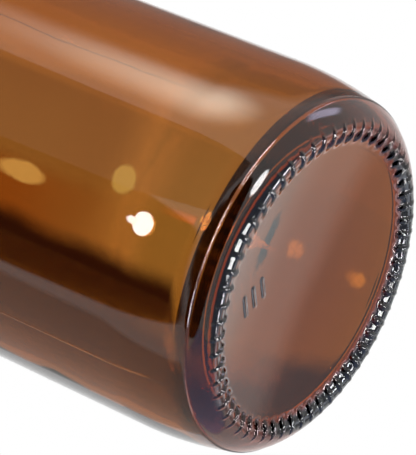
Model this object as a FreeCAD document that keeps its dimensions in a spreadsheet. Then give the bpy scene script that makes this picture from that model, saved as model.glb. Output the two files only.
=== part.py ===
# Amber glass boston round bottle, 16 oz size, with a threaded neck finish and no cap.
# One solid of glass, in millimetres. +Z runs up the axis to the mouth. The origin is in the middle
# of the base, at the height that the bottle rests on.
import FreeCAD, Part
import math
import os
import re

import Sketcher
from FreeCAD import Vector

# Dimensions: alias, value or formula, and what it is.
dimensions = [
    ("bodyDiameter", 75.0, "outside of the straight wall"),
    ("bottleHeight", 168.7, "rest plane to the lip"),
    ("wallThickness", 2.4, "glass in the straight wall and the shoulder"),
    ("heelHeight", 21.3, "where the heel curve leaves the straight wall"),
    ("partingInset", 2.2, "straight wall in to the lower edge of the body mould"),
    ("partingHeight", 4.15, "joint of the body mould and the base mould"),
    ("partingLedge", 0.1, "radial step at that joint"),
    ("heelRadius", 9.0, "rounding between the joint and the bearing ring"),
    ("bearingInset", 7.1, "straight wall in to the bearing ring's crest"),
    ("bearingRadius", 2.5, "section radius of the bearing ring"),
    ("plateRise", 2.95, "middle of the base plate above the rest plane"),
    ("plateDish", 1.855, "middle of the base plate above its height under the ring's crest"),
    (
        "plateRadius",
        "=((bodyDiameter / 2 - bearingInset) ^ 2 + plateDish ^ 2) / (2 * plateDish)",
        "spherical radius of the base plate, which follows from its dish",
    ),
    ("plateFillet", 3.0, "fillet between the base plate and the bearing ring"),
    ("baseThickness", 5.0, "glass in the middle of the base"),
    ("floorRadius", 160.0, "spherical radius of the floor inside"),
    ("cornerRadius", 10.0, "inside corner between the floor and the wall"),
    ("knurlCount", 60, "radial ribs on the bearing ring"),
    ("knurlHeight", 0.22, "ribs above the ring's crest"),
    ("knurlFlat", 0.03, "height taken off each rib where it stands"),
    ("knurlShift", 0.05, "middle of a rib outwards from the ring's crest"),
    ("knurlArc", 2.19, "radius of a rib's outline, seen from its side"),
    ("knurlRadius", 0.55, "rounding across a rib"),
    ("shoulderDrop", 52.7, "lip to where the shoulder leaves the straight wall"),
    ("shoulderRadius", 29.0, "outside radius of the shoulder"),
    ("neckDiameter", 25.2, "outside of the neck below the bead"),
    ("neckFillet", 6.0, "fillet between the shoulder and the neck"),
    ("boreDiameter", 18.6, "inside of the neck"),
    ("boreFillet", 8.0, "fillet between the shoulder and the bore, inside"),
    ("finishDiameter", 24.9, "outside of the finish at the thread's root"),
    ("beadDrop", 10.9, "lip to the middle of the bead"),
    ("beadDiameter", 29.2, "outside of the bead"),
    ("beadRadius", 1.5, "section radius of the bead"),
    ("lipRadius", 1.0, "rounding of both edges of the lip"),
    ("threadDiameter", 27.4, "outside of the thread"),
    ("threadWidth", 2.4, "thread along the axis"),
    ("threadFlank", 0.35, "straight part of its sides, out from the root"),
    ("threadPitch", 4.23, "rise of the thread in one turn"),
    ("threadTurns", 1.3, "length of the thread in turns"),
    ("threadDrop", 7.6, "lip to the middle of the thread's lower end"),
    ("markRadius", 18.0, "axis to the middle of the mould mark"),
    ("markAngle", -152.5, "direction of the mould mark from +X, in degrees"),
    ("markBars", 3, "raised bars of the mould mark"),
    ("markSpacing", 2.9, "one bar to the next, along X"),
    ("markLength", 5.0, "length of a bar"),
    ("markWidth", 1.0, "width of a bar"),
    ("markHeight", 0.25, "bars above the base plate"),
]

# How far a raised detail is rooted in the glass, and how far a cutter runs past the surface.
rootDepth = 0.6
cutterMargin = 1.0

doc = FreeCAD.newDocument("BostonRound")

sheet = doc.addObject("Spreadsheet::Sheet", "Sizes")
for row, (alias, value, meaning) in enumerate(dimensions, start=1):
    sheet.set(f"A{row}", meaning)
    sheet.set(f"B{row}", str(value))
    sheet.setAlias(f"B{row}", alias)
doc.recompute()

bottle = doc.addObject("PartDesign::Body", "Bottle")
bottle.Label = "bottle"
origin = {feature.Role: feature for feature in bottle.Origin.OriginFeatures}


def size(expression):
    """Value of an expression whose words are aliases of the sheet."""
    return float(sheet.evalExpression(expression))


def bind(expression):
    """The same expression as another object has to write it, with the sheet's name in front."""
    aliases = "|".join(alias for alias, _, _ in dimensions)
    return re.sub(rf"\b({aliases})\b", r"Sizes.\1", expression)


def newSketch(name, plane):
    sketch = bottle.newObject("Sketcher::SketchObject", name)
    sketch.AttachmentSupport = [(origin[plane], "")]
    sketch.MapMode = "FlatFace"
    return sketch


def drive(sketch, kind, places, expression):
    """A dimension of the sketch that follows the sheet."""
    index = sketch.addConstraint(Sketcher.Constraint(kind, *places, size(expression)))
    sketch.setExpression(f"Constraints[{index}]", bind(expression))


def circlesMeet(centreA, radiusA, centreB, radiusB, side):
    """Where two circles cross: left of the line from A to B with side 1, right of it with -1."""
    line = centreB - centreA
    along = (line.Length**2 + radiusA**2 - radiusB**2) / (2 * line.Length)
    off = math.sqrt(radiusA**2 - along**2)
    unit = line.normalize()
    return centreA + unit * along + Vector(-unit.y, unit.x, 0) * off * side


def towards(start, end, distance):
    return start + (end - start).normalize() * distance


class Outline:
    """A closed chain of lines and arcs in a sketch, drawn from a start point round to it again."""

    def __init__(self, sketch, start):
        self.sketch = sketch
        self.here = start
        self.pieces = {}

    def join(self, name, index, first, last, how):
        if self.pieces:
            before = list(self.pieces.values())[-1]
            self.sketch.addConstraint(
                Sketcher.Constraint(how, before[0], before[2], index, first)
            )
        self.pieces[name] = (index, first, last)

    def line(self, name, end, how="Coincident"):
        index = self.sketch.addGeometry(Part.LineSegment(self.here, end), False)
        self.join(name, index, 1, 2, how)
        self.here = end

    def arc(self, name, end, centre, how="Tangent", forward=None):
        """Anticlockwise if forward, and the short way round centre if that is left open.

        A sketch keeps every arc anticlockwise, so the ends of the others swap.
        """
        start = self.here - centre
        stop = end - centre
        if forward is None:
            forward = start.x * stop.y - start.y * stop.x > 0
        ends = (start, stop) if forward else (stop, start)
        angles = [math.atan2(ray.y, ray.x) for ray in ends]
        circle = Part.Circle(centre, Vector(0, 0, 1), stop.Length)
        index = self.sketch.addGeometry(Part.ArcOfCircle(circle, *angles), False)
        self.join(name, index, *((1, 2) if forward else (2, 1)), how)
        self.here = end

    def close(self, how="Coincident"):
        first = list(self.pieces.values())[0]
        last = list(self.pieces.values())[-1]
        self.sketch.addConstraint(
            Sketcher.Constraint(how, last[0], last[2], first[0], first[1])
        )

    def index(self, name):
        return self.pieces[name][0]

    def end(self, name):
        return self.pieces[name][0], self.pieces[name][2]

    def along(self, kind, *names):
        for name in names:
            self.sketch.addConstraint(Sketcher.Constraint(kind, self.index(name)))

    def onAxis(self, geometry, position):
        self.sketch.addConstraint(Sketcher.Constraint("PointOnObject", geometry, position, -2))

    def radius(self, name, expression):
        drive(self.sketch, "Radius", (self.index(name),), expression)

    def across(self, place, expression):
        drive(self.sketch, "DistanceX", (-1, 1, *place), expression)

    def up(self, place, expression):
        drive(self.sketch, "DistanceY", (-1, 1, *place), expression)


def revolve(kind, name, sketch):
    feature = bottle.newObject(kind, name)
    feature.Profile = sketch
    feature.ReferenceAxis = (origin["Z_Axis"], [""])
    feature.Angle = 360
    return feature


def outsideOutline():
    """Half section of the bottle as if it were solid glass, up one side from the base plate."""
    height = size("bottleHeight")
    body = size("bodyDiameter / 2")
    neck = size("neckDiameter / 2")
    finish = size("finishDiameter / 2")
    lip = size("lipRadius")
    bead = Vector(size("beadDiameter / 2 - beadRadius"), height - size("beadDrop"), 0)
    beadRadius = size("beadRadius")
    beadFoot = Vector(neck, bead.y - math.sqrt(beadRadius**2 - (neck - bead.x) ** 2), 0)
    beadHead = Vector(finish, bead.y + math.sqrt(beadRadius**2 - (finish - bead.x) ** 2), 0)

    plateCentre = Vector(0, size("plateRise - plateRadius"), 0)
    bearingCentre = Vector(size("bodyDiameter / 2 - bearingInset"), size("bearingRadius + knurlHeight"), 0)
    filletCentre = circlesMeet(
        plateCentre,
        size("plateRadius - plateFillet"),
        bearingCentre,
        size("bearingRadius + plateFillet"),
        1,
    )
    ledgeFoot = Vector(size("bodyDiameter / 2 - partingInset - partingLedge"), size("partingHeight"), 0)
    heelCentre = circlesMeet(
        bearingCentre, size("heelRadius - bearingRadius"), ledgeFoot, size("heelRadius"), 1
    )
    ledge = Vector(size("bodyDiameter / 2 - partingInset"), ledgeFoot.y, 0)
    heelTop = Vector(body, size("heelHeight"), 0)
    heelReach = ((heelTop - ledge).Length ** 2) / (2 * (heelTop.x - ledge.x))
    shoulderCentre = Vector(body - size("shoulderRadius"), size("bottleHeight - shoulderDrop"), 0)
    neckCentre = Vector(neck + size("neckFillet"), 0, 0)
    reach = size("shoulderRadius + neckFillet")
    neckCentre.y = shoulderCentre.y + math.sqrt(reach**2 - (neckCentre.x - shoulderCentre.x) ** 2)

    sketch = newSketch("OutsideSketch", "XZ_Plane")
    outline = Outline(sketch, Vector(0, size("plateRise"), 0))
    outline.arc("plate", towards(plateCentre, filletCentre, size("plateRadius")), plateCentre)
    outline.arc("fillet", towards(bearingCentre, filletCentre, size("bearingRadius")), filletCentre)
    outline.arc("bearing", towards(heelCentre, bearingCentre, size("heelRadius")), bearingCentre)
    outline.arc("underHeel", ledgeFoot, heelCentre)
    outline.line("ledge", ledge)
    outline.arc("heel", heelTop, heelTop - Vector(heelReach, 0, 0), "Coincident")
    outline.line("wall", shoulderCentre + Vector(size("shoulderRadius"), 0, 0), "Tangent")
    outline.arc(
        "shoulder", towards(shoulderCentre, neckCentre, size("shoulderRadius")), shoulderCentre
    )
    outline.arc("neckFillet", Vector(neck, neckCentre.y, 0), neckCentre)
    outline.line("neck", beadFoot, "Tangent")
    outline.arc("bead", beadHead, bead, "Coincident", True)
    outline.line("finish", Vector(finish, height - lip, 0))
    outline.arc("lip", Vector(finish - lip, height, 0), Vector(finish - lip, height - lip, 0))
    outline.line("top", Vector(0, height, 0), "Tangent")
    outline.line("axis", Vector(0, size("plateRise"), 0))
    outline.close()

    outline.onAxis(outline.index("plate"), 3)
    outline.onAxis(*outline.end("axis"))
    outline.onAxis(*outline.end("top"))
    outline.along("Horizontal", "ledge", "top")
    outline.along("Vertical", "wall", "neck", "finish")
    outline.radius("plate", "plateRadius")
    outline.up(outline.end("axis"), "plateRise")
    outline.radius("fillet", "plateFillet")
    outline.radius("bearing", "bearingRadius")
    outline.across((outline.index("bearing"), 3), "bodyDiameter / 2 - bearingInset")
    outline.up((outline.index("bearing"), 3), "bearingRadius + knurlHeight")
    outline.radius("underHeel", "heelRadius")
    outline.across(outline.end("underHeel"), "bodyDiameter / 2 - partingInset - partingLedge")
    outline.up(outline.end("underHeel"), "partingHeight")
    outline.across(outline.end("ledge"), "bodyDiameter / 2 - partingInset")
    outline.across(outline.end("heel"), "bodyDiameter / 2")
    outline.up(outline.end("heel"), "heelHeight")
    outline.up(outline.end("wall"), "bottleHeight - shoulderDrop")
    outline.radius("shoulder", "shoulderRadius")
    outline.radius("neckFillet", "neckFillet")
    outline.across(outline.end("neck"), "neckDiameter / 2")
    outline.radius("bead", "beadRadius")
    outline.across((outline.index("bead"), 3), "beadDiameter / 2 - beadRadius")
    outline.up((outline.index("bead"), 3), "bottleHeight - beadDrop")
    outline.across(outline.end("bead"), "finishDiameter / 2")
    outline.radius("lip", "lipRadius")
    outline.up(outline.end("top"), "bottleHeight")
    return sketch


def insideOutline():
    """Half section of the space inside, from the floor out to the wall and up through the mouth."""
    height = size("bottleHeight")
    wall = size("bodyDiameter / 2 - wallThickness")
    bore = size("boreDiameter / 2")
    lip = size("lipRadius")
    floor = size("plateRise + baseThickness")

    floorCentre = Vector(0, floor - size("floorRadius"), 0)
    cornerCentre = Vector(wall - size("cornerRadius"), 0, 0)
    reach = size("floorRadius + cornerRadius")
    cornerCentre.y = floorCentre.y + math.sqrt(reach**2 - cornerCentre.x**2)
    shoulderRadius = size("shoulderRadius - wallThickness")
    shoulderCentre = Vector(wall - shoulderRadius, size("bottleHeight - shoulderDrop"), 0)
    neckCentre = Vector(bore + size("boreFillet"), 0, 0)
    reach = shoulderRadius + size("boreFillet")
    neckCentre.y = shoulderCentre.y + math.sqrt(reach**2 - (neckCentre.x - shoulderCentre.x) ** 2)

    sketch = newSketch("InsideSketch", "XZ_Plane")
    outline = Outline(sketch, Vector(0, floor, 0))
    outline.arc("floor", towards(floorCentre, cornerCentre, size("floorRadius")), floorCentre)
    outline.arc("corner", Vector(wall, cornerCentre.y, 0), cornerCentre)
    outline.line("wall", Vector(wall, shoulderCentre.y, 0), "Tangent")
    outline.arc("shoulder", towards(shoulderCentre, neckCentre, shoulderRadius), shoulderCentre)
    outline.arc("neckFillet", Vector(bore, neckCentre.y, 0), neckCentre)
    outline.line("bore", Vector(bore, height - lip, 0), "Tangent")
    outline.arc("lip", Vector(bore + lip, height, 0), Vector(bore + lip, height - lip, 0))
    outline.line("mouth", Vector(bore + lip, height + cutterMargin, 0))
    outline.line("top", Vector(0, height + cutterMargin, 0))
    outline.line("axis", Vector(0, floor, 0))
    outline.close()

    outline.onAxis(outline.index("floor"), 3)
    outline.onAxis(*outline.end("axis"))
    outline.onAxis(*outline.end("top"))
    outline.along("Horizontal", "top")
    outline.along("Vertical", "wall", "bore", "mouth")
    outline.radius("floor", "floorRadius")
    outline.up(outline.end("axis"), "plateRise + baseThickness")
    outline.radius("corner", "cornerRadius")
    outline.across(outline.end("wall"), "bodyDiameter / 2 - wallThickness")
    outline.up(outline.end("wall"), "bottleHeight - shoulderDrop")
    outline.radius("shoulder", "shoulderRadius - wallThickness")
    outline.radius("neckFillet", "boreFillet")
    outline.across(outline.end("bore"), "boreDiameter / 2")
    outline.radius("lip", "lipRadius")
    outline.up(outline.end("lip"), "bottleHeight")
    outline.across(outline.end("lip"), "boreDiameter / 2 + lipRadius")
    outline.up(outline.end("mouth"), f"bottleHeight + {cutterMargin}")
    return sketch


def knurls():
    """Radial ribs across the bearing ring, each a small torus that follows the ring's section."""
    rib = bottle.newObject("PartDesign::AdditiveTorus", "Rib")
    rib.AttachmentSupport = [(origin["XZ_Plane"], "")]
    rib.MapMode = "FlatFace"
    rib.setExpression("AttachmentOffset.Base.x", bind("bodyDiameter / 2 - bearingInset + knurlShift"))
    rib.setExpression("AttachmentOffset.Base.y", bind("knurlArc - knurlFlat"))
    rib.setExpression("Radius1", bind("knurlArc - knurlRadius"))
    rib.setExpression("Radius2", bind("knurlRadius"))
    ribs = bottle.newObject("PartDesign::PolarPattern", "Ribs")
    ribs.Originals = [rib]
    ribs.Axis = (origin["Z_Axis"], [""])
    ribs.Angle = 360
    ribs.setExpression("Occurrences", bind("knurlCount"))
    bottle.Tip = ribs


def restPlane():
    """Takes the ribs off at the rest plane, so that each one stands on a small flat."""
    sketch = newSketch("RestSketch", "XZ_Plane")
    inner = size("bodyDiameter / 2 - bearingInset + knurlShift - knurlArc")
    outer = size("bodyDiameter / 2 - bearingInset + knurlShift + knurlArc")
    outline = Outline(sketch, Vector(inner, -cutterMargin, 0))
    outline.line("under", Vector(outer, -cutterMargin, 0))
    outline.line("outerSide", Vector(outer, 0, 0))
    outline.line("rest", Vector(inner, 0, 0))
    outline.line("innerSide", Vector(inner, -cutterMargin, 0))
    outline.close()
    outline.along("Horizontal", "under")
    outline.along("Vertical", "outerSide", "innerSide")
    outline.across(outline.end("under"), "bodyDiameter / 2 - bearingInset + knurlShift + knurlArc")
    outline.across(outline.end("rest"), "bodyDiameter / 2 - bearingInset + knurlShift - knurlArc")
    outline.up(outline.end("under"), f"-{cutterMargin}")
    outline.up(outline.end("rest"), "0")
    outline.up(outline.end("outerSide"), "0")
    revolve("PartDesign::Groove", "Rest", sketch)


def thread():
    """One round-backed thread on the finish, which rises anticlockwise towards the lip."""
    root = size("finishDiameter / 2")
    crest = size("threadDiameter / 2")
    side = size("finishDiameter / 2 + threadFlank")
    foot = size("bottleHeight - threadDrop - threadWidth / 2")
    head = size("bottleHeight - threadDrop + threadWidth / 2")
    rise = "(threadDiameter / 2 - finishDiameter / 2 - threadFlank)"
    crestRadius = f"(threadWidth ^ 2 / 4 + {rise} ^ 2) / (2 * {rise})"

    sketch = newSketch("ThreadSketch", "XZ_Plane")
    outline = Outline(sketch, Vector(root - rootDepth, foot, 0))
    outline.line("underside", Vector(side, foot, 0))
    centre = Vector(crest - size(crestRadius), (foot + head) / 2, 0)
    outline.arc("crest", Vector(side, head, 0), centre, "Coincident", True)
    outline.line("topside", Vector(root - rootDepth, head, 0))
    outline.line("back", Vector(root - rootDepth, foot, 0))
    outline.close()
    outline.along("Horizontal", "underside", "topside")
    outline.along("Vertical", "back")
    outline.across(outline.end("underside"), "finishDiameter / 2 + threadFlank")
    outline.across(outline.end("crest"), "finishDiameter / 2 + threadFlank")
    outline.across(outline.end("topside"), f"finishDiameter / 2 - {rootDepth}")
    outline.up(outline.end("underside"), "bottleHeight - threadDrop - threadWidth / 2")
    outline.up(outline.end("topside"), "bottleHeight - threadDrop + threadWidth / 2")
    outline.radius("crest", crestRadius)

    helix = bottle.newObject("PartDesign::AdditiveHelix", "Thread")
    helix.Profile = sketch
    helix.ReferenceAxis = (origin["Z_Axis"], [""])
    helix.Mode = "pitch-turns-angle"
    helix.setExpression("Pitch", bind("threadPitch"))
    helix.setExpression("Turns", bind("threadTurns"))


def mouldMark():
    """Short raised bars side by side on the base plate, square to its surface."""
    sketch = newSketch("MarkSketch", "XY_Plane")
    level = "plateRise - plateRadius + sqrt(plateRadius ^ 2 - markRadius ^ 2) - markHeight"
    place = f"vector(markRadius * cos(markAngle * 1deg); markRadius * sin(markAngle * 1deg); {level})"
    lean = "rotationz(markAngle * 1deg) * rotationy(asin(markRadius / plateRadius))"
    turn = f"{lean} * rotationz(-markAngle * 1deg)"
    sketch.setExpression("AttachmentOffset", bind(f"placement({place}; {turn})"))

    first = -size("(markBars - 1) * markSpacing / 2")
    half = size("markWidth / 2")
    straight = size("(markLength - markWidth) / 2")
    outline = Outline(sketch, Vector(first + half, -straight, 0))
    outline.line("right", Vector(first + half, straight, 0))
    outline.arc(
        "top", Vector(first - half, straight, 0), Vector(first, straight, 0), forward=True
    )
    outline.line("left", Vector(first - half, -straight, 0), "Tangent")
    outline.arc(
        "bottom", Vector(first + half, -straight, 0), Vector(first, -straight, 0), forward=True
    )
    outline.close("Tangent")
    outline.along("Vertical", "right", "left")
    outline.radius("top", "markWidth / 2")
    outline.across((outline.index("top"), 3), "-(markBars - 1) * markSpacing / 2")
    outline.up((outline.index("top"), 3), "(markLength - markWidth) / 2")
    outline.up((outline.index("bottom"), 3), "-(markLength - markWidth) / 2")

    bar = bottle.newObject("PartDesign::Pad", "Bar")
    bar.Profile = sketch
    bar.setExpression("Length", bind(f"markHeight + {rootDepth}"))
    bars = bottle.newObject("PartDesign::LinearPattern", "Bars")
    bars.Originals = [bar]
    bars.Direction = (sketch, ["H_Axis"])
    bars.setExpression("Length", bind("(markBars - 1) * markSpacing"))
    bars.setExpression("Occurrences", bind("markBars"))
    bottle.Tip = bars


revolve("PartDesign::Revolution", "Glass", outsideOutline())
revolve("PartDesign::Groove", "Inside", insideOutline())
knurls()
restPlane()
thread()
mouldMark()
doc.recompute()

for feature in doc.Objects:
    if "Invalid" in feature.State or "Error" in feature.State:
        raise RuntimeError(f"{feature.Name} did not recompute: {feature.State}")
    shape = getattr(feature, "Shape", None)
    if feature.isDerivedFrom("PartDesign::Feature") and (shape is None or shape.isNull()):
        raise RuntimeError(f"{feature.Name} has no shape")
    if shape is not None and not shape.isNull() and not shape.isValid():
        raise RuntimeError(f"{feature.Name} has a faulty shape")
if len(bottle.Shape.Solids) != 1:
    raise RuntimeError("the bottle is not one piece of glass")

os.makedirs("parts", exist_ok=True)
bottle.Shape.exportStep(f"parts/{bottle.Label}.step")
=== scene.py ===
import math

import bpy
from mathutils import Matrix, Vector


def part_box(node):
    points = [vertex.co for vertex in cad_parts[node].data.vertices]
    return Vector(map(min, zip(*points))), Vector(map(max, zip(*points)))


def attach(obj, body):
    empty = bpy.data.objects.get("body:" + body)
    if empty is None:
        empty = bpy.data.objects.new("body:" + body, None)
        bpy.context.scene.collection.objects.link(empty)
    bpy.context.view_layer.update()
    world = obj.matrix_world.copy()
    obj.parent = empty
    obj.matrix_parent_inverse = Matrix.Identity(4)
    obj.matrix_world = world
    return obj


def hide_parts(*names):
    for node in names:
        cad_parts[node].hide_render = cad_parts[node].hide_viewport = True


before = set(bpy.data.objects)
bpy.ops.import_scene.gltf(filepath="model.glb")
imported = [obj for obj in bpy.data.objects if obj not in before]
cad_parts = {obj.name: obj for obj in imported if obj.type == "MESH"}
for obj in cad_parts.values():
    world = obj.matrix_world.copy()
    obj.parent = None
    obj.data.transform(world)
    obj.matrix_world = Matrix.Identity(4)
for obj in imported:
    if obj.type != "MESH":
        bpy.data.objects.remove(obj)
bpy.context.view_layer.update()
cadLow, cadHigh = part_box("bottle")
print("frame loaded")

mm = 0.001
tiny = 1e-6  # numbers closer than this are the same

# All in mm, angles in degrees. Heights are above the surface that the bottle stands on.
bottle = {
    "height": (cadHigh.z - cadLow.z) / mm,
    "bodyRadius": (cadHigh.x - cadLow.x) / 2 / mm,
    "plateRise": 2.95,  # middle of the pushed-up base
    "plateRadius": 250.0,
    "plateFillet": 3.0,
    "bearingPlace": (30.4, 2.9),  # centre of the bearing ring's section
    "bearingRadius": 2.5,
    "underHeelPlace": (27.42, 8.68),  # centre of the curve from the ring out to the parting
    "underHeelRadius": 9.0,
    "parting": (35.3, 4.15),  # joint of the body mould and the base mould
    "partingLedge": 0.1,
    "partingEdge": ((-0.04, -0.03), (0.02, 0.05)),  # softens the ledge, from the joint
    "heelHeight": 21.3,
    "shoulderHeight": 116.0,
    "shoulderRadius": 29.0,
    "neckRadius": 12.6,
    "neckFillet": 6.0,
    "beadPlace": (13.1, 157.8),  # centre of the bead's section
    "beadRadius": 1.5,
    "finishFoot": 155.6,  # where the neck ends and the screw finish starts
    "finishRadius": 12.45,
    "lipRadius": 1.0,
    "wall": 2.4,  # glass in the straight wall, heel and shoulder
    "floorRise": 7.0,  # middle of the floor inside
    "floorRadius": 160.0,
    "cornerRadius": 6.0,  # between the floor and the wall, inside
    "boreRadius": 9.3,
    "boreFillet": 8.0,
}

# Points along each stretch of the outline, and round the bottle.
steps = {
    "plateMiddle": 12, "plateMark": 50, "plateEdge": 4, "plateFillet": 7,
    "bearing": 18, "underHeel": 9, "heel": 26, "wall": 14, "shoulder": 20,
    "neckFillet": 9, "neck": 4, "finish": 40, "lipEdge": 6, "lipTop": 2,
    "bore": 4, "boreFillet": 10, "insideShoulder": 20, "insideWall": 24,
    "insideHeel": 12, "corner": 22, "floor": 24,
    "roundPlate": 120, "roundBody": 240, "roundFinish": 120, "roundLip": 120, "roundInside": 160,
}


def smoothStep(low, high, value):
    part = min(1.0, max(0.0, (value - low) / (high - low)))
    return part * part * (3 - 2 * part)


def smoothMax(first, second, blend):
    overlap = max(0.0, blend - abs(first - second)) / blend
    return max(first, second) + overlap * overlap * blend / 4


# Where two circles cross: left of the line from the first centre to the second with side 1.
def circlesMeet(centreA, radiusA, centreB, radiusB, side):
    a, b = Vector(centreA), Vector(centreB)
    line = b - a
    along = (line.length_squared + radiusA**2 - radiusB**2) / (2 * line.length)
    off = math.sqrt(radiusA**2 - along**2)
    unit = line.normalized()
    return a + unit * along + Vector((-unit.y, unit.x)) * off * side


def towards(start, end, distance):
    start, end = Vector(start), Vector(end)
    return start + (end - start).normalized() * distance


# Points of an arc after its start, the short way round, as (radius, height).
def arcTo(start, end, centre, count):
    a, b = Vector(start) - Vector(centre), Vector(end) - Vector(centre)
    first = math.atan2(a.y, a.x)
    turn = math.atan2(a.x * b.y - a.y * b.x, a.dot(b))
    angles = [first + turn * (i + 1) / count for i in range(count)]
    return [(centre[0] + a.length * math.cos(t), centre[1] + a.length * math.sin(t)) for t in angles]


def lineTo(start, end, count):
    start, end = Vector(start), Vector(end)
    return [tuple(start.lerp(end, (i + 1) / count)) for i in range(count)]


# Centre and radius of the heel, which runs from the parting into the straight wall.
def heelArc():
    top, ledge = Vector((bottle["bodyRadius"], bottle["heelHeight"])), Vector(bottle["parting"])
    reach = (top - ledge).length_squared / (2 * (top.x - ledge.x))
    return top - Vector((reach, 0)), reach


# Outside of the glass from the middle of the base to the lip, as named stretches.
def outsideStretches():
    b = bottle
    plateCentre = (0, b["plateRise"] - b["plateRadius"])
    filletCentre = circlesMeet(
        plateCentre, b["plateRadius"] - b["plateFillet"],
        b["bearingPlace"], b["bearingRadius"] + b["plateFillet"], 1,
    )
    plateEnd = towards(plateCentre, filletCentre, b["plateRadius"])
    filletEnd = towards(b["bearingPlace"], filletCentre, b["bearingRadius"])
    bearingEnd = towards(b["underHeelPlace"], b["bearingPlace"], b["underHeelRadius"])
    ledge = Vector(b["parting"])
    ledgeFoot = ledge - Vector((b["partingLedge"], 0))
    heelTop = Vector((b["bodyRadius"], b["heelHeight"]))
    shoulderFoot = Vector((b["bodyRadius"], b["shoulderHeight"]))
    shoulderCentre = shoulderFoot - Vector((b["shoulderRadius"], 0))
    reach = b["shoulderRadius"] + b["neckFillet"]
    neckAcross = b["neckRadius"] + b["neckFillet"]
    neckUp = math.sqrt(reach**2 - (neckAcross - shoulderCentre.x) ** 2)
    neckCentre = Vector((neckAcross, shoulderCentre.y + neckUp))
    shoulderEnd = towards(shoulderCentre, neckCentre, b["shoulderRadius"])
    neckFoot = Vector((b["neckRadius"], neckCentre.y))

    platePlaces = [
        (r, plateCentre[1] + math.sqrt(b["plateRadius"] ** 2 - r**2)) for r in mark["finePart"]
    ]
    plate = arcTo((0, b["plateRise"]), platePlaces[0], plateCentre, steps["plateMiddle"])
    plate += arcTo(platePlaces[0], platePlaces[1], plateCentre, steps["plateMark"])
    plate += arcTo(platePlaces[1], plateEnd, plateCentre, steps["plateEdge"])
    fillet = arcTo(plateEnd, filletEnd, filletCentre, steps["plateFillet"])
    bearing = arcTo(filletEnd, bearingEnd, b["bearingPlace"], steps["bearing"])
    underHeel = arcTo(bearingEnd, ledgeFoot, b["underHeelPlace"], steps["underHeel"])
    edge = [tuple(ledge + Vector(shift)) for shift in b["partingEdge"]]
    heel = arcTo(ledge, heelTop, heelArc()[0], steps["heel"])
    wall = lineTo(heelTop, shoulderFoot, steps["wall"])
    shoulder = arcTo(shoulderFoot, shoulderEnd, shoulderCentre, steps["shoulder"])
    shoulder += arcTo(shoulderEnd, neckFoot, neckCentre, steps["neckFillet"])
    finishFoot = Vector((b["neckRadius"], b["finishFoot"]))
    lipStart = Vector((b["finishRadius"], b["height"] - b["lipRadius"]))
    neck = lineTo(neckFoot, finishFoot, steps["neck"])
    finish = lineTo(finishFoot, lipStart, steps["finish"])
    return [
        ("plate", [(0.0, b["plateRise"])] + plate),
        ("ring", fillet + bearing + underHeel[:-1]),
        ("body", underHeel[-1:] + edge + heel + wall + shoulder + neck),
        ("finish", finish),
    ]


# Inside of the glass from the lip down to the middle of the floor.
def insideStretches():
    b = bottle
    top = b["height"]
    bore, lip = b["boreRadius"], b["lipRadius"]
    wall = b["bodyRadius"] - b["wall"]
    radius = b["shoulderRadius"] - b["wall"]
    shoulderCentre = Vector((wall - radius, b["shoulderHeight"]))
    reach = radius + b["boreFillet"]
    neckAcross = bore + b["boreFillet"]
    neckUp = math.sqrt(reach**2 - (neckAcross - shoulderCentre.x) ** 2)
    neckCentre = Vector((neckAcross, shoulderCentre.y + neckUp))
    shoulderEnd = towards(shoulderCentre, neckCentre, radius)
    floorCentre = Vector((0, b["floorRise"] - b["floorRadius"]))
    heelCentre, heelReach = heelArc()
    heelRadius = heelReach - b["wall"]
    cornerCentre = circlesMeet(
        floorCentre, b["floorRadius"] + b["cornerRadius"],
        heelCentre, heelRadius - b["cornerRadius"], -1,
    )
    cornerStart = towards(heelCentre, cornerCentre, heelRadius)
    floorEnd = towards(floorCentre, cornerCentre, b["floorRadius"])

    outerLip = (b["finishRadius"], top - lip)
    lipTop = (b["finishRadius"] - lip, top)
    boreTop = (bore, top - lip)
    boreFoot = (bore, neckCentre.y)
    wallTop, wallFoot = (wall, b["shoulderHeight"]), (wall, b["heelHeight"])
    lipPoints = arcTo(outerLip, lipTop, (lipTop[0], top - lip), steps["lipEdge"])
    lipPoints += lineTo(lipTop, (bore + lip, top), steps["lipTop"])
    lipPoints += arcTo((bore + lip, top), boreTop, (bore + lip, top - lip), steps["lipEdge"])
    neck = lineTo(boreTop, boreFoot, steps["bore"])
    neck += arcTo(boreFoot, shoulderEnd, neckCentre, steps["boreFillet"])
    shoulder = arcTo(shoulderEnd, wallTop, shoulderCentre, steps["insideShoulder"])
    side = lineTo(wallTop, wallFoot, steps["insideWall"])
    side += arcTo(wallFoot, cornerStart, heelCentre, steps["insideHeel"])
    corner = arcTo(cornerStart, floorEnd, cornerCentre, steps["corner"])
    floor = arcTo(floorEnd, (0, b["floorRise"]), floorCentre, steps["floor"])
    return [("lip", lipPoints), ("inside", neck + shoulder + side + corner + floor)]


# Directions of a ring's points, in degrees from +X.
def evenColumns(count):
    return [360 * i / count for i in range(count)]


# Ribs across the bearing ring, on which the bottle stands.
ribs = {
    "count": 60,
    "place": (29.9, 2.85),  # centre of a rib's outline, seen from its side
    "spine": 2.05,  # from there to the rib's core
    "round": 0.8,  # rounding across the rib
    "blend": 0.05,  # how softly a rib meets the ring
    "columns": (0, 0.28, 0.55, 0.8, 1.0, 1.18, 1.34, 1.5, 1.7, 2.2),  # degrees to each side
}


def ribColumns():
    pitch = 360 / ribs["count"]
    angles = []
    for i in range(ribs["count"]):
        angles += [i * pitch + side * a for a in ribs["columns"] for side in (-1, 1)]
        angles.append((i + 0.5) * pitch)
    return sorted({round(a % 360, 4) for a in angles})


# The two seams that the halves of the mould leave on the body.
seams = {
    "angles": (1.3, 181.3),
    "height": 0.06,
    "width": 0.16,
    "foot": 5.0,
    "head": 150.0,
    "columns": (0.12, 0.25, 0.4, 0.6, 0.9),  # degrees to each side
    "footFade": 12.0,
    "headFade": 4.0,
}


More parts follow.
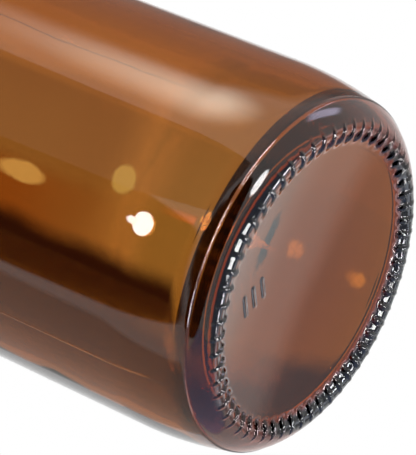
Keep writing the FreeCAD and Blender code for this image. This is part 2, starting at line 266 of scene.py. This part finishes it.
def seamColumns(count):
    angles = evenColumns(count)
    for seam in seams["angles"]:
        angles = [a for a in angles if abs(a - seam) > min(seams["columns"])]
        angles += [seam] + [seam + side * a for a in seams["columns"] for side in (-1, 1)]
    return sorted({round(a % 360, 4) for a in angles})


# Plain raised bars on the base, side by side along X.
mark = {
    "place": (-15.97, -8.31),  # middle of the bars
    "bars": 3,
    "spacing": 2.9,
    "length": 5.0,
    "width": 0.85,
    "height": 0.16,
    "edge": 0.3,  # width of their sloped sides
    "finePart": (12.0, 24.0),  # radii between which the base is meshed finely
    "fineSteps": 50,  # to each side of it, each of "fineAngle" degrees
    "fineAngle": 0.4,
}


def markColumns(count):
    x, y = mark["place"]
    middle = math.degrees(math.atan2(y, x))
    fine = range(-mark["fineSteps"], mark["fineSteps"] + 1)
    angles = evenColumns(count) + [middle + mark["fineAngle"] * i for i in fine]
    return sorted({round(a % 360, 4) for a in angles})


# How far a point of a rib's outline lifts the bearing ring. Both move along the ray from place.
def liftRibs(radius, height, degrees):
    pitch = 360 / ribs["count"]
    off = (degrees + pitch / 2) % pitch - pitch / 2
    aside = radius * math.sin(math.radians(off))
    if abs(aside) >= ribs["round"]:
        return radius, height
    place = Vector(ribs["place"])
    ray = Vector((radius, height)) - place
    rib = ribs["spine"] + math.sqrt(ribs["round"] ** 2 - aside**2)
    reach = smoothMax(ray.length, rib, ribs["blend"])
    lifted = place + ray.normalized() * reach
    return lifted.x, max(0.0, lifted.y)


def liftSeams(radius, height, degrees):
    lift = 0.0
    for seam in seams["angles"]:
        off = (degrees - seam + 180) % 360 - 180
        aside = radius * math.radians(off)
        lift += seams["height"] * math.exp(-((aside / seams["width"]) ** 2))
    fade = smoothStep(seams["foot"], seams["foot"] + seams["footFade"], height)
    fade *= 1 - smoothStep(seams["head"] - seams["headFade"], seams["head"], height)
    return radius + lift * fade, height


# The base looks down, so its raised bars reach lower.
def dropMark(radius, height, degrees):
    x = radius * math.cos(math.radians(degrees)) - mark["place"][0]
    y = radius * math.sin(math.radians(degrees)) - mark["place"][1]
    half = (mark["length"] - mark["width"]) / 2
    drop = 0.0
    for i in range(mark["bars"]):
        across = x - (i - (mark["bars"] - 1) / 2) * mark["spacing"]
        along = max(0.0, abs(y) - half)
        inside = mark["width"] / 2 - math.hypot(across, along)
        drop = max(drop, mark["height"] * smoothStep(-mark["edge"] / 2, mark["edge"] / 2, inside))
    return radius, height - drop


thread = {
    "pitch": 4.23,
    "turns": 1.3,
    "foot": 161.1,
    "width": 2.4,
    "radius": 13.7,
    "fade": 0.06,  # turns over which each end runs out
    "beadBlend": 0.4,  # how softly the bead under the thread meets the neck
}


# The bead and the thread above it.
def liftThread(radius, height, degrees):
    bead = Vector(bottle["beadPlace"])
    away = height - bead.y
    if abs(away) < bottle["beadRadius"]:
        beadOut = bead.x + math.sqrt(bottle["beadRadius"] ** 2 - away**2)
        radius = smoothMax(radius, beadOut, thread["beadBlend"])
    for turn in (0, 1):
        turns = turn + (degrees % 360) / 360
        if turns > thread["turns"]:
            continue
        away = abs(height - thread["foot"] - turns * thread["pitch"]) / (thread["width"] / 2)
        ends = smoothStep(0, thread["fade"], turns)
        ends *= 1 - smoothStep(thread["turns"] - thread["fade"], thread["turns"], turns)
        if away < 1:
            rise = (thread["radius"] - bottle["finishRadius"]) * math.sqrt(1 - away**2)
            radius = max(radius, bottle["finishRadius"] + rise * ends)
    return radius, height


def plain(radius, height, degrees):
    return radius, height


# The inside of blown glass is never quite true. Each wave: height, number round the bottle,
# radians per mm of height, and where it starts in radians.
waves = {
    "shapes": ((0.10, 2, 0, 0.7), (0.05, 3, 0.05, 0), (0.04, 2, 0.11, 0), (0.02, -3, 0.31, 0)),
    "between": (9.0, 20.0),  # radii over which they set in, so the bore stays true
}


def waver(radius, height, degrees):
    a = math.radians(degrees)
    wave = sum(
        size * math.sin(number * a + climb * height + start)
        for size, number, climb, start in waves["shapes"]
    )
    return radius + wave * smoothStep(*waves["between"], radius), height


# Joins two rings of points whose counts may differ, like a zip.
def zipRings(faces, lower, upper):
    i = j = 0
    low = lower + [(lower[0][0] + 360, lower[0][1])]
    high = upper + [(upper[0][0] + 360, upper[0][1])]
    while i < len(lower) or j < len(upper):
        nextLow = low[i + 1][0] if i < len(lower) else math.inf
        nextHigh = high[j + 1][0] if j < len(upper) else math.inf
        if abs(nextLow - nextHigh) < tiny:
            faces.append((low[i][1], low[i + 1][1], high[j + 1][1], high[j][1]))
            i, j = i + 1, j + 1
        elif nextLow < nextHigh:
            faces.append((low[i][1], low[i + 1][1], high[j][1]))
            i += 1
        else:
            faces.append((low[i][1], high[j + 1][1], high[j][1]))
            j += 1


# Turns the outline round the axis. Each stretch has its own columns and its own small shape.
def spin(stretches, columns, shapes):
    points, faces, rings = [], [], []
    for name, section in stretches:
        for radius, height in section:
            if radius < tiny:
                rings.append([(0.0, len(points))])
                points.append((0, 0, height * mm))
                continue
            ring = []
            for degrees in columns[name]:
                r, z = shapes[name](radius, height, degrees)
                ring.append((degrees, len(points)))
                a = math.radians(degrees)
                points.append((r * math.cos(a) * mm, r * math.sin(a) * mm, z * mm))
            rings.append(ring)
    for lower, upper in zip(rings, rings[1:]):
        if len(lower) == 1:
            tip = lower[0][1]
            ends = upper[1:] + upper[:1]
            faces += [(tip, b[1], a[1]) for a, b in zip(upper, ends)]
        elif len(upper) == 1:
            tip = upper[0][1]
            ends = lower[1:] + lower[:1]
            faces += [(a[1], b[1], tip) for a, b in zip(lower, ends)]
        else:
            zipRings(faces, lower, upper)
    return points, faces


def makeBottle():
    stretches = outsideStretches() + insideStretches()
    columns = {
        "plate": markColumns(steps["roundPlate"]),
        "ring": ribColumns(),
        "body": seamColumns(steps["roundBody"]),
        "finish": evenColumns(steps["roundFinish"]),
        "lip": evenColumns(steps["roundLip"]),
        "inside": evenColumns(steps["roundInside"]),
    }
    shapes = {
        "plate": dropMark,
        "ring": liftRibs,
        "body": liftSeams,
        "finish": liftThread,
        "lip": plain,
        "inside": waver,
    }
    points, faces = spin(stretches, columns, shapes)
    mesh = bpy.data.meshes.new("glassBottle")
    mesh.from_pydata(points, [], faces)
    mesh.validate()
    mesh.polygons.foreach_set("use_smooth", [True] * len(mesh.polygons))
    mesh.update()
    piece = bpy.data.objects.new("glassBottle", mesh)
    bpy.context.scene.collection.objects.link(piece)
    return piece


# Small node helper: a math node fed by sockets or numbers.
def doMath(tree, operation, first, second=None):
    node = tree.nodes.new("ShaderNodeMath")
    node.operation = operation
    for socket, value in zip(node.inputs, (first, second)):
        if isinstance(value, bpy.types.NodeSocket):
            tree.links.new(value, socket)
        elif value is not None:
            socket.default_value = value
    return node.outputs[0]


amberGlass = {
    "ior": 1.52,
    "absorption": (172, 385, 760),  # per metre, in red, green and blue
    "ripple": {"scale": 60, "strength": 0.35, "distance": 0.00012},
    "peel": {"scale": 420, "strength": 0.25, "distance": 0.00001},
    "waveDetail": 1.5,
    "scuffs": {
        "scale": 260, "detail": 4, "stretch": (1, 1, 0.25),
        "from": 0.6, "to": 0.78, "roughness": 0.05,
    },
}


def makeNoise(tree, place, scale, detail):
    noise = tree.nodes.new("ShaderNodeTexNoise")
    noise.inputs["Scale"].default_value = scale
    noise.inputs["Detail"].default_value = detail
    tree.links.new(place, noise.inputs["Vector"])
    return noise.outputs["Fac"]


def makeAmberGlass():
    material = bpy.data.materials.new("amberGlass")
    material.use_nodes = True
    tree = material.node_tree
    tree.nodes.clear()
    output = tree.nodes.new("ShaderNodeOutputMaterial")
    glass = tree.nodes.new("ShaderNodeBsdfPrincipled")
    glass.inputs["Base Color"].default_value = (1, 1, 1, 1)
    glass.inputs["Transmission Weight"].default_value = 1
    glass.inputs["IOR"].default_value = amberGlass["ior"]
    place = tree.nodes.new("ShaderNodeTexCoord").outputs["Object"]

    # Slow ripples and a fine orange peel, as moulded glass has.
    normal = None
    for name in ("ripple", "peel"):
        sizes = amberGlass[name]
        bump = tree.nodes.new("ShaderNodeBump")
        bump.inputs["Strength"].default_value = sizes["strength"]
        bump.inputs["Distance"].default_value = sizes["distance"]
        height = makeNoise(tree, place, sizes["scale"], amberGlass["waveDetail"])
        tree.links.new(height, bump.inputs["Height"])
        if normal:
            tree.links.new(normal, bump.inputs["Normal"])
        normal = bump.outputs["Normal"]
    tree.links.new(normal, glass.inputs["Normal"])

    # Patches of handling scuffs that dull the gloss a little.
    scuffs = amberGlass["scuffs"]
    stretch = tree.nodes.new("ShaderNodeMapping")
    stretch.inputs["Scale"].default_value = scuffs["stretch"]
    tree.links.new(place, stretch.inputs["Vector"])
    dull = tree.nodes.new("ShaderNodeMapRange")
    dull.inputs["From Min"].default_value = scuffs["from"]
    dull.inputs["From Max"].default_value = scuffs["to"]
    dull.inputs["To Max"].default_value = scuffs["roughness"]
    patches = makeNoise(tree, stretch.outputs[0], scuffs["scale"], scuffs["detail"])
    tree.links.new(patches, dull.inputs["Value"])
    tree.links.new(dull.outputs["Result"], glass.inputs["Roughness"])

    inside = tree.nodes.new("ShaderNodeVolumeAbsorption")
    density = max(amberGlass["absorption"])
    tint = [1 - part / density for part in amberGlass["absorption"]]
    inside.inputs["Color"].default_value = (*tint, 1)
    inside.inputs["Density"].default_value = density
    tree.links.new(glass.outputs["BSDF"], output.inputs["Surface"])
    tree.links.new(inside.outputs["Volume"], output.inputs["Volume"])
    return material


paleFloor = {
    "reach": 3.0,  # metres to each side
    "colour": (0.85, 0.85, 0.85),
}


# Shows only from above and to the camera, so the bottle can be looked at from below as well.
def makeFloor():
    mesh = bpy.data.meshes.new("floor")
    reach = paleFloor["reach"]
    corners = [(-reach, -reach, 0), (reach, -reach, 0), (reach, reach, 0), (-reach, reach, 0)]
    mesh.from_pydata(corners, [], [(0, 1, 2, 3)])
    floor = bpy.data.objects.new("floor", mesh)
    bpy.context.scene.collection.objects.link(floor)
    material = bpy.data.materials.new("paleFloor")
    material.use_nodes = True
    tree = material.node_tree
    tree.nodes.clear()
    output = tree.nodes.new("ShaderNodeOutputMaterial")
    paint = tree.nodes.new("ShaderNodeBsdfDiffuse")
    paint.inputs["Color"].default_value = (*paleFloor["colour"], 1)
    clear = tree.nodes.new("ShaderNodeBsdfTransparent")
    path = tree.nodes.new("ShaderNodeLightPath")
    side = tree.nodes.new("ShaderNodeNewGeometry")
    mix = tree.nodes.new("ShaderNodeMixShader")
    fromAbove = doMath(tree, "GREATER_THAN", path.outputs["Is Camera Ray"], side.outputs["Backfacing"])
    tree.links.new(fromAbove, mix.inputs[0])
    tree.links.new(clear.outputs[0], mix.inputs[1])
    tree.links.new(paint.outputs[0], mix.inputs[2])
    tree.links.new(mix.outputs[0], output.inputs["Surface"])
    mesh.materials.append(material)
    return floor


# Lamps and cards round the bottle, in mm. A card faces "aim" from "away" in the direction that
# "around" (degrees from +X) and "up" (above the horizon) give, and "shift" moves it sideways and
# up in its own plane. It fades out over "soft", a part of its half size, and has the corners of
# an ellipse where "corner" is 2 and of a rectangle where it is large. "level" is its glow in red,
# green and blue, 1 for a white wall. "seenBy" is glossy where only reflections on the glass show it,
# and transmission where only what is seen through the glass does.
studio = {
    "aim": (0, 0, 20),
    "plainLevel": 0.6,
    "cards": {
        "mainLamp": {
            "around": -57, "up": 26, "away": 650, "half": (190, 170), "soft": 0.95, "corner": 2,
            "level": (6.0, 6.3, 5.6), "seenBy": "both",
        },
        "smallLamp": {
            "around": -137.5, "up": 24, "away": 600, "half": (66, 42), "soft": 0.1, "corner": 2,
            "level": (20, 20, 20), "seenBy": "both",
        },
        "smallLampTop": {
            "around": -138, "up": 28.3, "away": 600, "half": (24, 24), "soft": 0.4, "corner": 2,
            "level": (18, 18, 18), "seenBy": "both",
        },
        "heelLamp": {
            "around": -77, "up": -53, "away": 500, "half": (70, 62), "soft": 0.3, "corner": 2,
            "level": (20, 20, 20), "seenBy": "glossy",
        },
        "sideCard": {
            "around": -23, "up": -21, "away": 500, "half": (130, 60), "soft": 0.5, "corner": 4,
            "level": (4.2, 4.0, 5.2), "seenBy": "glossy",
        },
        "lowLamp": {
            "around": 40, "up": -87, "away": 500, "half": (92, 92), "soft": 0.2, "corner": 2,
            "level": (20, 20, 20), "seenBy": "glossy",
        },
        "lowSurround": {
            "around": 40, "up": -82, "away": 520, "half": (340, 340), "soft": 0.3, "corner": 2,
            "level": (0.4, 0.42, 0.55), "seenBy": "glossy",
        },
        "lowSpotRight": {
            "around": 80, "up": -66, "away": 480, "half": (60, 45), "soft": 0.2, "corner": 2,
            "level": (20, 20, 21), "seenBy": "glossy",
        },
        "lowSpotBack": {
            "around": 15, "up": -62, "away": 480, "half": (62, 50), "soft": 0.2, "corner": 2,
            "level": (20, 20, 21), "seenBy": "glossy",
        },
        "lowEdgeCard": {
            "around": 60, "up": -48, "away": 560, "half": (420, 90), "soft": 0.5, "corner": 3,
            "level": (1.9, 2.0, 2.3), "seenBy": "glossy",
        },
        "plateLamp": {
            "around": 50, "up": -13, "away": 600, "half": (150, 150), "soft": 0.9, "corner": 2,
            "level": (1.95, 2.15, 2.2), "seenBy": "glossy",
        },
        "plateCard": {
            "around": 50, "up": -37, "away": 600, "half": (200, 90), "soft": 0.5, "corner": 3,
            "level": (0.5, 0.5, 0.53), "seenBy": "glossy",
        },
        "curtainRight": {
            "around": -100, "up": 32, "away": 700, "half": (246, 380), "soft": 0.03, "corner": 20,
            "level": (0.27, 0.26, 0.25), "seenBy": "both",
        },
        "curtainLeft": {
            "around": -155, "up": 32, "away": 712, "half": (430, 380), "soft": 0.1, "corner": 8,
            "level": (0.02, 0.02, 0.02), "seenBy": "both",
        },
        "lowCurtain": {
            "around": -140, "up": -28, "away": 700, "half": (700, 450), "soft": 0.06, "corner": 8,
            "level": (0.01, 0.01, 0.015), "seenBy": "glossy",
        },
        "greyWall": {
            "around": 126, "up": 25, "away": 720, "half": (440, 360), "soft": 0.15, "corner": 8,
            "level": (0.5, 0.52, 0.5), "seenBy": "glossy",
        },
        "greyCeiling": {
            "around": -8, "up": 36, "away": 720, "half": (450, 330), "soft": 0.3, "corner": 6,
            "level": (0.22, 0.24, 0.24), "seenBy": "glossy",
        },
        "blueWall": {
            "around": 126, "up": -32, "away": 720, "half": (440, 360), "soft": 0.15, "corner": 8,
            "level": (0.5, 0.6, 0.95), "seenBy": "glossy",
        },
        # Painted shade: a dark sheet seen only through the glass, standing in for the shadowed surface
        # behind the body.
        "paintedShadeBehind": {
            "around": 51, "up": 33, "away": 310, "shift": (-98, 35), "half": (86, 150),
            "soft": 0.12, "corner": 8, "level": (0.05, 0.02, 0.015), "seenBy": "transmission",
        },
        # Painted shade: a dark sheet seen only through the glass, which darkens the band along the
        # heel.
        "paintedHeelShade": {
            "around": 51, "up": 33, "away": 308, "shift": (-20, -115), "half": (130, 48),
            "soft": 0.1, "corner": 8, "level": (0.02, 0.02, 0.02), "seenBy": "transmission",
        },
        # Painted shade: a dark sheet below, seen only through the glass, which darkens the heel band.
        "paintedHeelShadeBelow": {
            "around": 50, "up": -60, "away": 350, "half": (320, 160),
            "soft": 0.1, "corner": 8, "level": (0.02, 0.02, 0.02), "seenBy": "transmission",
        },
        "warmCard": {
            "around": 51, "up": 33, "away": 311, "shift": (-12, 92), "half": (20, 78),
            "soft": 0.5, "corner": 8, "level": (0.6, 0.36, 0.15), "seenBy": "transmission",
        },
        "greyCard": {
            "around": 51, "up": 33, "away": 312, "shift": (8, 92), "half": (42, 78),
            "soft": 0.25, "corner": 8, "level": (0.66, 0.64, 0.6), "seenBy": "transmission",
        },
        "lowGreyCard": {
            "around": 51, "up": 33, "away": 314, "shift": (50, -30), "half": (90, 50),
            "soft": 0.2, "corner": 8, "level": (0.7, 0.76, 0.66), "seenBy": "transmission",
        },
        "backSpotHigh": {
            "around": 51, "up": 33, "away": 300, "shift": (0, 50), "half": (5, 10),
            "soft": 0.3, "corner": 2, "level": (1.4, 1.8, 2.2), "seenBy": "transmission",
        },
        "backSpotMiddle": {
            "around": 51, "up": 33, "away": 300, "shift": (12, 23), "half": (6.5, 5),
            "soft": 0.3, "corner": 2, "level": (1.3, 1.9, 2.4), "seenBy": "transmission",
        },
        "backStreak": {
            "around": 51, "up": 33, "away": 300, "shift": (8, -1), "half": (2.5, 16),
            "soft": 0.8, "corner": 4, "level": (1.3, 0.9, 0.7), "seenBy": "transmission",
        },
        "backSpotLow": {
            "around": 51, "up": 33, "away": 300, "shift": (9, -31), "half": (3, 2.5),
            "soft": 0.7, "corner": 2, "level": (1.7, 2.0, 1.7), "seenBy": "transmission",
        },
        "backSpotDark": {
            "around": 51, "up": 33, "away": 299, "shift": (8, -41.5), "half": (7, 4),
            "soft": 0.5, "corner": 2, "level": (0.02, 0.02, 0.02), "seenBy": "transmission",
        },
    },
}


# A glowing card that fades to nothing at its edges. A dark card is one with a low level.
def makeCardMaterial(name, card):
    material = bpy.data.materials.new(name)
    material.use_nodes = True
    tree = material.node_tree
    tree.nodes.clear()
    output = tree.nodes.new("ShaderNodeOutputMaterial")
    glow = tree.nodes.new("ShaderNodeEmission")
    strength = max(card["level"])
    glow.inputs["Color"].default_value = (*[part / strength for part in card["level"]], 1)
    glow.inputs["Strength"].default_value = strength
    clear = tree.nodes.new("ShaderNodeBsdfTransparent")
    place = tree.nodes.new("ShaderNodeTexCoord")
    parts = tree.nodes.new("ShaderNodeSeparateXYZ")
    tree.links.new(place.outputs["Object"], parts.inputs[0])
    across, up = [
        doMath(tree, "POWER", doMath(tree, "ABSOLUTE", parts.outputs[i]), card["corner"])
        for i in range(2)
    ]
    reach = doMath(tree, "POWER", doMath(tree, "ADD", across, up), 1 / card["corner"])
    edge = tree.nodes.new("ShaderNodeMapRange")
    edge.interpolation_type = "SMOOTHSTEP"
    edge.inputs["From Min"].default_value = 1
    edge.inputs["From Max"].default_value = 1 - card["soft"]
    tree.links.new(reach, edge.inputs["Value"])
    mix = tree.nodes.new("ShaderNodeMixShader")
    tree.links.new(edge.outputs["Result"], mix.inputs[0])
    tree.links.new(clear.outputs[0], mix.inputs[1])
    tree.links.new(glow.outputs[0], mix.inputs[2])
    tree.links.new(mix.outputs[0], output.inputs["Surface"])
    return material


def makeCard(name, card):
    mesh = bpy.data.meshes.new(name)
    mesh.from_pydata([(-1, -1, 0), (1, -1, 0), (1, 1, 0), (-1, 1, 0)], [], [(0, 1, 2, 3)])
    mesh.materials.append(makeCardMaterial(name, card))
    piece = bpy.data.objects.new(name, mesh)
    bpy.context.scene.collection.objects.link(piece)
    a, e = math.radians(card["around"]), math.radians(card["up"])
    outward = Vector((math.cos(a) * math.cos(e), math.sin(a) * math.cos(e), math.sin(e)))
    turn = outward.to_track_quat("-Z", "Y")
    shift = Vector((*card.get("shift", (0, 0)), 0))
    aim = Vector(studio["aim"])
    piece.location = (aim + outward * card["away"] + turn @ shift) * mm
    piece.rotation_euler = turn.to_euler()
    piece.scale = (card["half"][0] * mm, card["half"][1] * mm, 1)
    piece.visible_camera = False
    piece.visible_diffuse = max(card["level"]) > 1
    piece.visible_shadow = False
    piece.visible_glossy = card["seenBy"] in ("glossy", "both")
    piece.visible_transmission = card["seenBy"] in ("transmission", "both")


# Plain light for the diffuse floor, and a white surrounding for what is seen, mirrored or bent.
def makeWorld():
    world = bpy.data.worlds.new("studio")
    bpy.context.scene.world = world
    world.use_nodes = True
    tree = world.node_tree
    tree.nodes.clear()
    output = tree.nodes.new("ShaderNodeOutputWorld")
    plainLight = tree.nodes.new("ShaderNodeBackground")
    plainLight.inputs["Strength"].default_value = studio["plainLevel"]
    white = tree.nodes.new("ShaderNodeBackground")
    for background in (plainLight, white):
        background.inputs["Color"].default_value = (1, 1, 1, 1)
    path = tree.nodes.new("ShaderNodeLightPath")
    rays = path.outputs["Is Camera Ray"]
    for kind in ("Is Glossy Ray", "Is Transmission Ray"):
        rays = doMath(tree, "MAXIMUM", rays, path.outputs[kind])
    mix = tree.nodes.new("ShaderNodeMixShader")
    tree.links.new(rays, mix.inputs[0])
    tree.links.new(plainLight.outputs[0], mix.inputs[1])
    tree.links.new(white.outputs[0], mix.inputs[2])
    tree.links.new(mix.outputs[0], output.inputs["Surface"])


view = {
    "place": (-0.3048, -0.3617, -0.25775),  # metres
    "turn": (146.953, 52.017, 10.151),  # degrees
    "lens": 229.45,
    "filmWidth": 36,
    "nearest": 0.05,
    "farthest": 20,
}


def makeCamera():
    data = bpy.data.cameras.new("camera")
    data.lens = view["lens"]
    data.sensor_width = view["filmWidth"]
    data.clip_start = view["nearest"]
    data.clip_end = view["farthest"]
    camera = bpy.data.objects.new("camera", data)
    camera.location = view["place"]
    camera.rotation_euler = [math.radians(angle) for angle in view["turn"]]
    bpy.context.scene.collection.objects.link(camera)
    bpy.context.scene.camera = camera


glassBottle = makeBottle()
glassBottle.data.materials.append(makeAmberGlass())
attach(glassBottle, "root")
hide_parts("bottle")
triangles = sum(len(face.vertices) - 2 for face in glassBottle.data.polygons)
print("bottle made,", triangles, "triangles")

floor = makeFloor()
makeWorld()
for cardName, cardSizes in studio["cards"].items():
    makeCard(cardName, cardSizes)
makeCamera()
bpy.context.scene.view_settings.view_transform = "Standard"
print("studio and camera made")
